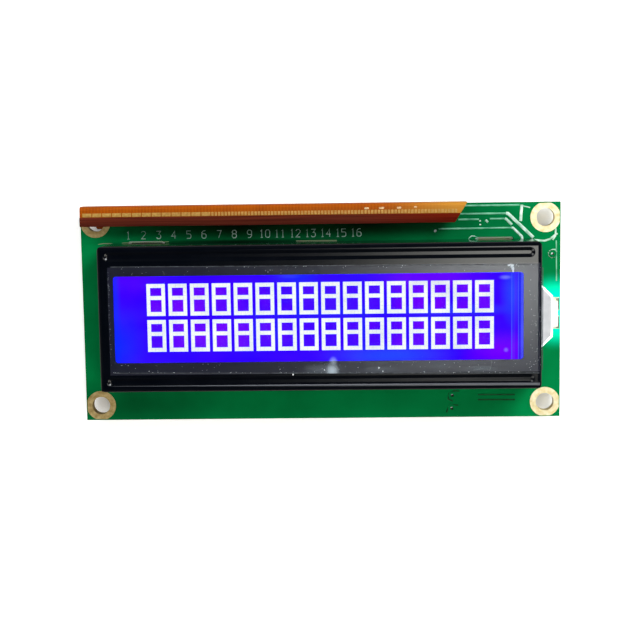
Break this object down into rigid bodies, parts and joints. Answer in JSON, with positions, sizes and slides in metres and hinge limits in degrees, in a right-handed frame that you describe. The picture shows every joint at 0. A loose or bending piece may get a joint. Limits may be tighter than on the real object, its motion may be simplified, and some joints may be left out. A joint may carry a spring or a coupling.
{
  "type": "character lcd module",
  "caption": "Flat character display module: a green board with a black steel bezel round a blue back-lit liquid crystal window, and an amber flex circuit along one long edge.",
  "frame": {"origin": "centre of the four mounting holes, on the board's rear face", "axes": "+X along the long side, away from the first header hole; +Y towards the header edge; +Z out of the display"},
  "size_m": [0.08, 0.0362, 0.011],
  "materials": {
    "board_mask": "green solder mask over woven glass epoxy, semi-gloss",
    "gold_plating": "immersion gold on copper",
    "masked_copper": "copper under green solder mask",
    "tinned_copper": "tinned copper lands",
    "bezel_enamel": "black stoved enamel on pressed steel, semi-gloss",
    "clear_film": "clear peel-off polyester film",
    "polariser_sheet": "polariser sheet",
    "cell_glass": "clear float glass",
    "seal_epoxy": "printed epoxy seal",
    "lit_display": "blue negative liquid crystal lit from behind",
    "amber_epoxy": "cured port sealant",
    "zebra_silicone": "layered silicone contact strip",
    "white_abs": "moulded white ABS",
    "white_pet": "white polyester film",
    "guide_acrylic": "edge-lit moulded acrylic",
    "grey_pet": "light grey polyester film",
    "lamp_resin": "white lamp resin",
    "lit_phosphor": "lit phosphor",
    "solder": "bright tin solder",
    "silicon": "silicon die",
    "black_epoxy": "black glob-top epoxy",
    "black_ceramic": "overcoated chip resistor",
    "brown_ceramic": "fired chip capacitor",
    "amber_polyimide": "amber polyimide coverlay over copper",
    "brown_polyimide": "dark brown polyimide stiffener",
    "gold_foil": "gold-plated contact fingers",
    "display_dots": "lit display dots",
    "dark_dots": "unlit display dots",
    "screen_print": "white screen-printed ink",
    "crease_mark": "creases, dust and scratches in the film"
  },
  "bodies": {
    "root": {"main_board": "board_mask", "mounting_eyelets": "gold_plating", "header_eyelets": "gold_plating", "via_eyelets": "masked_copper", "solder_lands": "tinned_copper", "bezel": "bezel_enamel", "protective_film": "clear_film", "front_polariser": "polariser_sheet", "front_glass": "cell_glass", "cell_seal": "seal_epoxy", "liquid_crystal": "lit_display", "end_seal": "amber_epoxy", "rear_glass": "cell_glass", "rear_polariser": "polariser_sheet", "upper_zebra_strip": "zebra_silicone", "lower_zebra_strip": "zebra_silicone", "backlight_frame": "white_abs", "reflector_film": "white_pet", "light_guide": "guide_acrylic", "diffuser_film": "white_pet", "tail_cover": "grey_pet", "led_housing": "lamp_resin", "led_phosphor": "lit_phosphor", "led_solder": "solder", "controller_die": "silicon", "controller_blob": "black_epoxy", "driver_die": "silicon", "driver_blob": "black_epoxy", "chip_resistors": "black_ceramic", "chip_capacitors": "brown_ceramic", "chip_terminals": "solder", "chip_solder": "solder", "interface_flex": "amber_polyimide", "flex_stiffener": "brown_polyimide", "flex_contacts": "gold_foil", "header_solder": "solder"}
  },
  "joints": []
}
